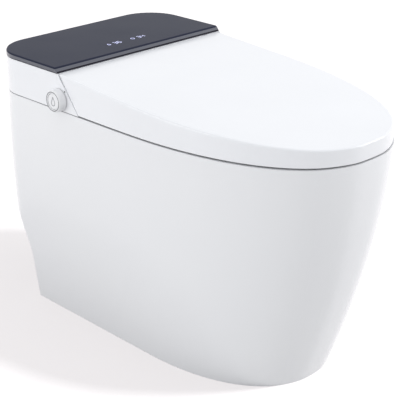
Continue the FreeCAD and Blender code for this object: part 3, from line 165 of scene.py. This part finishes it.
def moulded(name, color, roughness, grain=900.0, depth=0.00003, **sockets):
    """Injection moulded plastic: fine grain, roughness that drifts a little."""
    m = Shader(name, color, roughness, **sockets)
    m.bump(m.noise(grain, 2.0), depth, 0.25)
    m.vary_roughness(m.noise(25.0, 4.0), roughness * 0.85, roughness * 1.2)
    m.vary_color(m.noise(6.0, 3.0), shade(color, 0.965), 0.7)
    return m.material


def brushed(name, color, roughness=0.3):
    """Metal with fine lines along X."""
    m = Shader(name, color, roughness, Metallic=1.0)
    lines = m.noise(160.0, 3.0, (0.02, 1, 1))
    m.bump(lines, 0.00004, 0.4)
    m.vary_roughness(lines, roughness * 0.7, roughness * 1.3)
    m.vary_color(m.noise(12.0), shade(color, 0.85))
    return m.material


def rubber(name, color):
    """Matt rubber with a fine grain."""
    m = Shader(name, color, 0.62)
    m.bump(m.noise(450.0, 5.0), 0.00006, 0.5)
    m.vary_color(m.noise(30.0, 4.0), shade(color, 0.8))
    return m.material


def circuit(name, color):
    """Solder mask with the pattern of its tracks."""
    m = Shader(name, color, 0.4)
    cells = m.node("ShaderNodeTexVoronoi", feature="DISTANCE_TO_EDGE", distance="MANHATTAN")
    cells.inputs["Scale"].default_value = 160.0
    m.link(m.place, cells.inputs["Vector"])
    m.vary_color(cells.outputs["Distance"], shade(color, 1.9))
    m.bump(cells.outputs["Distance"], 0.00004, 0.5)
    return m.material


def dark_glass():
    """Back-painted panel: near black slate under a smooth glass face."""
    m = Shader("panel_glass", (0.026, 0.030, 0.051), 0.22, Specular_IOR_Level=0.02)
    m.vary_roughness(m.noise(14.0, 3.0), 0.18, 0.26)
    m.vary_color(m.noise(5.0, 2.0), (0.029, 0.033, 0.055))
    m.bump(m.noise(700.0, 2.0), 0.00001, 0.15)
    return m.material


def glowing(name, color, strength):
    """Lit plastic with a faintly uneven colour."""
    m = Shader(name, color, 0.4)
    m.bsdf.inputs["Emission Color"].default_value = (*color, 1)
    m.bsdf.inputs["Emission Strength"].default_value = strength
    m.vary_color(m.noise(800.0, 2.0), shade(color, 0.8))
    return m.material


def node_materials():
    """One material for each slot of the record."""
    return {
        "white_plastic": moulded("white_plastic", (0.84, 0.85, 0.875), 0.2,
                                 Coat_Weight=0.25, Coat_Roughness=0.06),
        "ceramic": glaze(),
        "panel_glass": dark_glass(),
        "panel_trim": moulded("panel_trim", (0.10, 0.105, 0.13), 0.2),
        "knob_white": moulded("knob_white", (0.82, 0.825, 0.84), 0.24),
        "tray_grey": moulded("tray_grey", (0.55, 0.56, 0.58), 0.45, 500.0, 0.00006),
        "inner_white": moulded("inner_white", (0.78, 0.785, 0.79), 0.35),
        "black_plastic": moulded("black_plastic", (0.03, 0.03, 0.034), 0.42, 500.0, 0.00006),
        "rubber_grey": rubber("rubber_grey", (0.16, 0.16, 0.17)),
        "rubber_white": rubber("rubber_white", (0.72, 0.72, 0.73)),
        "steel": brushed("steel", (0.6, 0.61, 0.62)),
        "brass": brushed("brass", (0.72, 0.56, 0.27), 0.28),
        "motor_metal": brushed("motor_metal", (0.5, 0.51, 0.53), 0.4),
        "board_green": circuit("board_green", (0.02, 0.15, 0.07)),
        "hose_grey": rubber("hose_grey", (0.42, 0.43, 0.45)),
        "carbon": rubber("carbon", (0.02, 0.02, 0.02)),
        "heater_film": circuit("heater_film", (0.5, 0.26, 0.1)),
        "lamp": glowing("lamp", (0.85, 0.9, 1.0), 0.3),
    }


def dress_nodes(materials):
    """Gives each node the material of its slot in the record."""
    slots = {part["node"]: part["material_slot"] for part in frame["record"]["subparts"]}
    for name, obj in NODES.items():
        obj.data.materials.clear()
        obj.data.materials.append(materials[slots[name]])


# ------------------------------------------------------------------ pieces
def skin(bm, low, high):
    """Closes the space between two outlines that match point by point."""
    bm.faces.new(high)
    bm.faces.new(low[::-1])
    for i in range(len(low)):
        after = (i + 1) % len(low)
        bm.faces.new((low[i], low[after], high[after], high[i]))


def piece(name, bm, body, material):
    """Object from a finished bmesh, riding on a body."""
    bmesh.ops.recalc_face_normals(bm, faces=bm.faces)
    mesh = bpy.data.meshes.new(name)
    bm.to_mesh(mesh)
    bm.free()
    made = bpy.data.objects.new(name, mesh)
    bpy.context.collection.objects.link(made)
    mesh.materials.append(material)
    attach(made, body)


# ------------------------------------------------------------------ thin marks laid on a node
MARK_LIFT = 0.00012          # how far a printed or lit mark stands proud
ABOVE = BESIDE = 1.0         # where the search for a surface starts, clear of the part
MARK_ROW_Y = 0.1625          # the row of lit marks on the top panel
DIGIT_WIDTH, DIGIT_HEIGHT = 0.0062, 0.0100
DIGIT_PITCH = 0.0094
DIGIT_STROKE = 0.0015
SYMBOL_HEIGHT = 0.0085
SYMBOL_STROKE = 0.0012
SYMBOL_TO_DIGITS = 0.0125
SYMBOL_STEPS = 28
DROP_HALF_WIDTH = 0.42       # share of a drop's height
DROP_POINT = 1.6             # how pointed its upper end is
OVAL_HALF_WIDTH = 0.38       # share of a seat outline's height
STROKE_SHORT = 0.6           # of its width that an open stroke stops short, so that segments stay apart
STROKE_OVERLAP = 0.1         # of its width that the strokes of a closed outline overlap
DISPLAYS = (("water_display", -0.038, "36"), ("seat_display", 0.0205, "34"))
SEGMENTS = {"a": ((0, 1), (1, 1)), "b": ((1, 1), (1, 0.5)), "c": ((1, 0.5), (1, 0)), "d": ((0, 0), (1, 0)),
            "e": ((0, 0.5), (0, 0)), "f": ((0, 1), (0, 0.5)), "g": ((0, 0.5), (1, 0.5))}
LIT = {"3": "abcdg", "4": "bcfg", "6": "acdefg"}
KNOB_SYMBOL_HEIGHT = 0.0155
KNOB_SYMBOL_STROKE = 0.0012
KNOB_RIM_SHADE_RADIUS = 0.0168    # painted shade: dark line round the edge of the ring's face
KNOB_RIM_SHADE_STROKE = 0.0013
KNOB_RIM_SHADE_STEPS = 72
POINTER_FROM, POINTER_TO = 0.0200, 0.0262           # index mark on the housing, from the knob's axis
POINTER_WIDTH = 0.0024
POINTER_TURN = math.radians(49)                     # up from the front


def stroke(path, width, closed=False):
    """Quads (four flat points each) along a path in the plane."""
    ends = path[1:] + path[:1] if closed else path[1:]
    longer = width * (STROKE_OVERLAP if closed else -STROKE_SHORT)
    quads = []
    for (x0, y0), (x1, y1) in zip(path, ends):
        length = math.hypot(x1 - x0, y1 - y0)
        along = ((x1 - x0) / length, (y1 - y0) / length)
        side = (-along[1] * width / 2, along[0] * width / 2)
        start = (x0 - along[0] * longer, y0 - along[1] * longer)
        stop = (x1 + along[0] * longer, y1 + along[1] * longer)
        quads.append([(start[0] - side[0], start[1] - side[1]), (stop[0] - side[0], stop[1] - side[1]),
                      (stop[0] + side[0], stop[1] + side[1]), (start[0] + side[0], start[1] + side[1])])
    return quads


def digit(character, left, low):
    """Strokes of a seven-segment digit from its lower left corner."""
    quads = []
    for segment in LIT[character]:
        path = [(left + u * DIGIT_WIDTH, low + v * DIGIT_HEIGHT) for u, v in SEGMENTS[segment]]
        quads += stroke(path, DIGIT_STROKE)
    return quads


def circle_turns(steps):
    """Even turns of a full circle, in radians."""
    return [2 * math.pi * i / steps for i in range(steps)]


def drop(x, y, height):
    """Outline of a water drop about its middle."""
    path = []
    for turn in circle_turns(SYMBOL_STEPS):
        narrow = math.sin(turn / 2) ** DROP_POINT
        path.append((x + DROP_HALF_WIDTH * height * narrow * math.sin(turn), y + height / 2 * math.cos(turn)))
    return path


def oval(x, y, height):
    """Outline of a toilet seat seen from above."""
    return [(x + OVAL_HALF_WIDTH * height * math.sin(t), y + height / 2 * math.cos(t))
            for t in circle_turns(SYMBOL_STEPS)]


def circle(radius):
    """Points round the knob's face."""
    return [(radius * math.cos(t), radius * math.sin(t)) for t in circle_turns(KNOB_RIM_SHADE_STEPS)]


def laid_on(name, node, quads, to_space, body, material):
    """Thin plates laid on a node's surface; to_space gives the point in front of it and the way to it."""
    carrier = NODES[node]
    bm = bmesh.new()
    for quad in quads:
        low, high = [], []
        for u, v in quad:
            start, way = to_space(u, v)
            found, place, _, _ = carrier.ray_cast(start, way)
            if not found:
                raise ValueError(name + " misses " + node)
            low.append(bm.verts.new(place + way * MARK_LIFT))
            high.append(bm.verts.new(place - way * MARK_LIFT))
        skin(bm, low, high)
    piece(name, bm, body, material)


def from_above(x, y):
    """Start and way of the search for a surface below."""
    return Vector((x, y, ABOVE)), Vector((0, 0, -1))


def make_displays(material):
    """On the top panel, a symbol and two digits for the water and for the seat."""
    for (name, left, number), symbol in zip(DISPLAYS, (drop, oval)):
        quads = stroke(symbol(left, MARK_ROW_Y, SYMBOL_HEIGHT), SYMBOL_STROKE, True)
        for place, character in enumerate(number):
            start = left + SYMBOL_TO_DIGITS + place * DIGIT_PITCH
            quads += digit(character, start, MARK_ROW_Y - DIGIT_HEIGHT / 2)
        laid_on(name, "top_panel", quads, from_above, "toilet", material)


def make_knob_marks(grey, face_edge_shade, dark):
    """Drop symbol on the button, a dark line of painted shade round the edge of the ring's face, index mark on
    the housing.
    """
    low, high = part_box("knob_ring")
    centre = (Vector(low) + Vector(high)) / 2

    def from_side(u, v):
        return Vector((-BESIDE, centre.y - u, centre.z + v)), Vector((1, 0, 0))

    laid_on("knob_symbol", "knob_button", stroke(drop(0, 0, KNOB_SYMBOL_HEIGHT), KNOB_SYMBOL_STROKE, True),
            from_side, "button", grey)
    # Painted shade: a dark line stands in for the shade at the edge of the ring's face.
    laid_on("knob_shaded_rim", "knob_ring", stroke(circle(KNOB_RIM_SHADE_RADIUS), KNOB_RIM_SHADE_STROKE, True),
            from_side, "knob", face_edge_shade)
    index = [(r * math.cos(POINTER_TURN), r * math.sin(POINTER_TURN)) for r in (POINTER_FROM, POINTER_TO)]
    laid_on("knob_index", "rear_housing", stroke(index, POINTER_WIDTH),
            from_side, "toilet", dark)


# ------------------------------------------------------------------ hinge covers
# The housing's parting line looks straight from outside, while the solids have a round relief about the hinge.
SIDE_X = 0.200               # outer face of the housing's sides
HINGE_AT = (0.101, 0.4921)   # axis of seat and lid, y and z
LINE_LOW, LINE_HIGH = (0.0567, 0.435), (0.110, 0.501)       # slanted parting line of the housing
COVER_RADIUS = 0.01225       # just inside the housing's relief round the hinge
COVER_THICKNESS = 0.0014
SLOT_X = (0.1535, 0.1665)    # slot in the housing for each hinge bracket
SLOT_WALL = 0.0026
SLOT_LOW = math.radians(5)   # where the slot's cover starts, up from level
ARC_STEPS = 40


def hinge_arc(radius, first, last):
    y, z = HINGE_AT
    turns = [first + (last - first) * i / ARC_STEPS for i in range(ARC_STEPS + 1)]
    return [(y + radius * math.cos(t), z + radius * math.sin(t)) for t in turns]


def end_cover():
    """Disc about the hinge axis, cut off along the parting line."""
    run, rise = LINE_HIGH[0] - LINE_LOW[0], LINE_HIGH[1] - LINE_LOW[1]
    offset = (HINGE_AT[0] - LINE_LOW[0]) * rise - (HINGE_AT[1] - LINE_LOW[1]) * run
    half_turn = math.acos(-offset / math.hypot(run, rise) / COVER_RADIUS)
    middle = math.atan2(rise, run) - math.pi / 2
    return hinge_arc(COVER_RADIUS, middle + half_turn, middle - half_turn)


def slot_cover():
    """Curved wall that goes on with the housing's relief across a bracket's slot."""
    height = LINE_HIGH[1] - HINGE_AT[1]
    inner, outer = COVER_RADIUS, COVER_RADIUS + SLOT_WALL
    return (hinge_arc(inner, SLOT_LOW, math.asin(height / inner))
            + hinge_arc(outer, math.asin(height / outer), SLOT_LOW))


def across(name, outline, x0, x1, material):
    """Piece of the housing with this outline in y and z, from x0 to x1."""
    bm = bmesh.new()
    skin(bm, *([bm.verts.new((x, y, z)) for y, z in outline] for x in (x1, x0)))
    piece(name, bm, "toilet", material)


def make_hinge_covers(material):
    for name, side in (("left", -1), ("right", 1)):
        across("hinge_cover_" + name, end_cover(), side * SIDE_X, side * (SIDE_X - COVER_THICKNESS), material)
        across("slot_cover_" + name, slot_cover(), side * SLOT_X[0], side * SLOT_X[1], material)


# ------------------------------------------------------------------ painted shade lines round the panel
PANEL_REAR_Y = 0.305
PANEL_FRONT_Y = 0.1135       # on the front's slope, at the height of the lines
PANEL_CORNER = 0.072         # radius of the rear corners
FRONT_INSET = 0.001          # of the front's line, from the sides
LINE_STEP = 0.006            # longest plate along a line
SIDE_GAP_SHADE = (0.50110, 0.5031)               # painted shade of the shadow gap along the band's lower edge, z from and to
# The same painted shade of the gap, along the lower edge of the sloping front.
FRONT_GAP_SHADE = (0.50230, 0.5042)
OUTSIDE = 0.02               # how far outside the panel the search for its surface starts
SAME_PLACE = 1e-5


def shares(length):
    """Even steps from 0 to 1 along a length."""
    count = math.ceil(length / LINE_STEP)
    return [i / count for i in range(count + 1)]


def panel_path():
    """Points round the panel's left, rear and right side, each with the way straight in."""
    straight = PANEL_REAR_Y - PANEL_CORNER - PANEL_FRONT_Y
    half = SIDE_X - PANEL_CORNER
    left = [((-SIDE_X, PANEL_FRONT_Y + t * straight), (1, 0)) for t in shares(straight)]
    for t in shares(PANEL_CORNER * math.pi / 2):
        cos, sin = math.cos(t * math.pi / 2), math.sin(t * math.pi / 2)
        place = (-half - PANEL_CORNER * cos, PANEL_REAR_Y - PANEL_CORNER + PANEL_CORNER * sin)
        left.append((place, (cos, -sin)))
    rear = [((-half + t * 2 * half, PANEL_REAR_Y), (0, -1)) for t in shares(2 * half)]
    return left + rear + [((-x, y), (-dx, dy)) for (x, y), (dx, dy) in left[::-1]]


def lay_gap_shade(name, path, heights, material):
    """Plates of painted shade laid on the panel frame along a path, between two heights."""
    low, high = heights

    def from_outside(i, z):
        (x, y), (dx, dy) = path[i]
        return Vector((x - dx * OUTSIDE, y - dy * OUTSIDE, z)), Vector((dx, dy, 0))

    quads = [[(i, low), (i + 1, low), (i + 1, high), (i, high)] for i in range(len(path) - 1)
             if math.dist(path[i][0], path[i + 1][0]) > SAME_PLACE]
    laid_on(name, "panel_frame", quads, from_outside, "toilet", material)


def make_gap_shade_lines(material):
    """Thin dark lines under the glass, on the band's sides and rear and on its sloping front: painted shade of
    the shadow gap along the band's lower edge.
    """
    half = SIDE_X - FRONT_INSET
    front = [((-half + t * 2 * half, PANEL_FRONT_Y), (0, 1)) for t in shares(2 * SIDE_X)]
    lay_gap_shade("gap_shade_sides", panel_path(), SIDE_GAP_SHADE, material)
    lay_gap_shade("gap_shade_front", front, FRONT_GAP_SHADE, material)


# ------------------------------------------------------------------ stage and light
FLOOR_SIZE = 30.0
FLOOR_SEEN = 0.20            # share of the light that the camera sees on the floor
FLOOR_SEEN_TINT = (1, 0.985, 0.99)
FLOOR_GLOW = 0.66            # added to it for the camera alone
FLOOR_GLOW_TINT = (1, 0.965, 0.975)
FLOOR_PLAIN = 0.25           # what the floor throws back on the object
WORLD_LIGHT = 0.94
WORLD_TINT = (0.97, 0.98, 1.0)


def seen_directly(tree):
    """1 for camera, glossy and transmission rays, so that the background shows in the gloss too."""
    path = tree.nodes.new("ShaderNodeLightPath")
    first = tree.nodes.new("ShaderNodeMath")
    second = tree.nodes.new("ShaderNodeMath")
    first.operation = second.operation = "MAXIMUM"
    tree.links.new(path.outputs["Is Camera Ray"], first.inputs[0])
    tree.links.new(path.outputs["Is Glossy Ray"], first.inputs[1])
    tree.links.new(first.outputs[0], second.inputs[0])
    tree.links.new(path.outputs["Is Transmission Ray"], second.inputs[1])
    return second.outputs[0]


def make_floor():
    """White floor that shows its shadow to the camera; returns it."""
    mesh = bpy.data.meshes.new("floor")
    half = FLOOR_SIZE / 2
    corners = [(-half, -half, 0), (half, -half, 0), (half, half, 0), (-half, half, 0)]
    mesh.from_pydata(corners, [], [(0, 1, 2, 3)])
    floor = bpy.data.objects.new("floor", mesh)
    bpy.context.collection.objects.link(floor)
    material = bpy.data.materials.new("pale_floor")
    material.use_nodes = True
    tree = material.node_tree
    tree.nodes.clear()
    out = tree.nodes.new("ShaderNodeOutputMaterial")
    seen = tree.nodes.new("ShaderNodeBsdfDiffuse")
    seen.inputs["Color"].default_value = (*shade(FLOOR_SEEN_TINT, FLOOR_SEEN), 1)
    glow = tree.nodes.new("ShaderNodeEmission")
    glow.inputs["Color"].default_value = (*FLOOR_GLOW_TINT, 1)
    glow.inputs["Strength"].default_value = FLOOR_GLOW
    both = tree.nodes.new("ShaderNodeAddShader")
    plain = tree.nodes.new("ShaderNodeBsdfDiffuse")
    plain.inputs["Color"].default_value = (FLOOR_PLAIN, FLOOR_PLAIN, FLOOR_PLAIN, 1)
    mix = tree.nodes.new("ShaderNodeMixShader")
    tree.links.new(seen.outputs[0], both.inputs[0])
    tree.links.new(glow.outputs[0], both.inputs[1])
    tree.links.new(seen_directly(tree), mix.inputs["Fac"])
    tree.links.new(plain.outputs[0], mix.inputs[1])
    tree.links.new(both.outputs[0], mix.inputs[2])
    tree.links.new(mix.outputs[0], out.inputs["Surface"])
    mesh.materials.append(material)
    return floor


def make_world():
    """Soft light from all sides, and plain white where the background itself is seen."""
    world = bpy.data.worlds.new("world")
    bpy.context.scene.world = world
    world.use_nodes = True
    tree = world.node_tree
    tree.nodes.clear()
    out = tree.nodes.new("ShaderNodeOutputWorld")
    ambient = tree.nodes.new("ShaderNodeBackground")
    ambient.inputs["Color"].default_value = (*WORLD_TINT, 1)
    ambient.inputs["Strength"].default_value = WORLD_LIGHT
    white = tree.nodes.new("ShaderNodeBackground")
    white.inputs["Color"].default_value = (1, 1, 1, 1)
    white.inputs["Strength"].default_value = 1.0
    mix = tree.nodes.new("ShaderNodeMixShader")
    tree.links.new(seen_directly(tree), mix.inputs["Fac"])
    tree.links.new(ambient.outputs[0], mix.inputs[1])
    tree.links.new(white.outputs[0], mix.inputs[2])
    tree.links.new(mix.outputs[0], out.inputs["Surface"])


LAMPS_AIM = Vector((0, 0, 0.25))
LAMPS = {                       # name: (place, width, height, watts)
    "top": ((0.1, 0.3, 2.6), 2.4, 2.4, 4.0),
    "left": ((-2.4, 0.9, 0.45), 1.6, 0.8, 14.0),
    "right": ((1.9, -1.7, 1.4), 1.6, 1.6, 22.0),
}
SHADOW_FROM = Vector((0.38, -0.56, 1.0))       # where the light that draws the floor's shadow comes from
SHADOW_DISTANCE = 3.0
SHADOW_SOFTNESS = math.radians(6)
SHADOW_STRENGTH = 5.0


def make_lamp(name, kind, place, towards):
    """Lamp of one of Blender's kinds, turned towards a point."""
    data = bpy.data.lights.new(name, kind)
    lamp = bpy.data.objects.new(name, data)
    bpy.context.collection.objects.link(lamp)
    lamp.location = place
    lamp.rotation_mode = "QUATERNION"
    lamp.rotation_quaternion = (towards - place).to_track_quat("-Z", "Y")
    return lamp


def make_lamps(floor):
    """Soft lamps for the object, and a sun that only draws its shadow on the floor."""
    for name, (place, width, height, watts) in LAMPS.items():
        data = make_lamp(name, "AREA", Vector(place), LAMPS_AIM).data
        data.shape = "RECTANGLE"
        data.size, data.size_y = width, height
        data.energy = watts
    sun = make_lamp("floor_sun", "SUN", SHADOW_FROM * SHADOW_DISTANCE, Vector())
    sun.data.angle = SHADOW_SOFTNESS
    sun.data.energy = SHADOW_STRENGTH
    receivers = bpy.data.collections.new("floor_sun_receivers")
    receivers.objects.link(floor)
    sun.light_linking.receiver_collection = receivers


# ------------------------------------------------------------------ build
materials = node_materials()
dress_nodes(materials)
make_displays(glowing("display_light", (0.62, 0.64, 0.95), 0.55))
# The dark grey second material is painted shade round the edge of the knob ring's face.
make_knob_marks(moulded("knob_print", (0.26, 0.265, 0.28), 0.5),
                moulded("painted_knob_shade", (0.14, 0.145, 0.16), 0.4), materials["rubber_grey"])
make_hinge_covers(materials["white_plastic"])
# A near black strip of painted shade along the panel band's lower edge, where the shadow gap is.
make_gap_shade_lines(moulded("painted_gap_shade", (0.012, 0.011, 0.018), 0.6, Specular_IOR_Level=0.1))
make_world()
make_lamps(make_floor())
make_camera()
bpy.context.scene.view_settings.view_transform = "Standard"
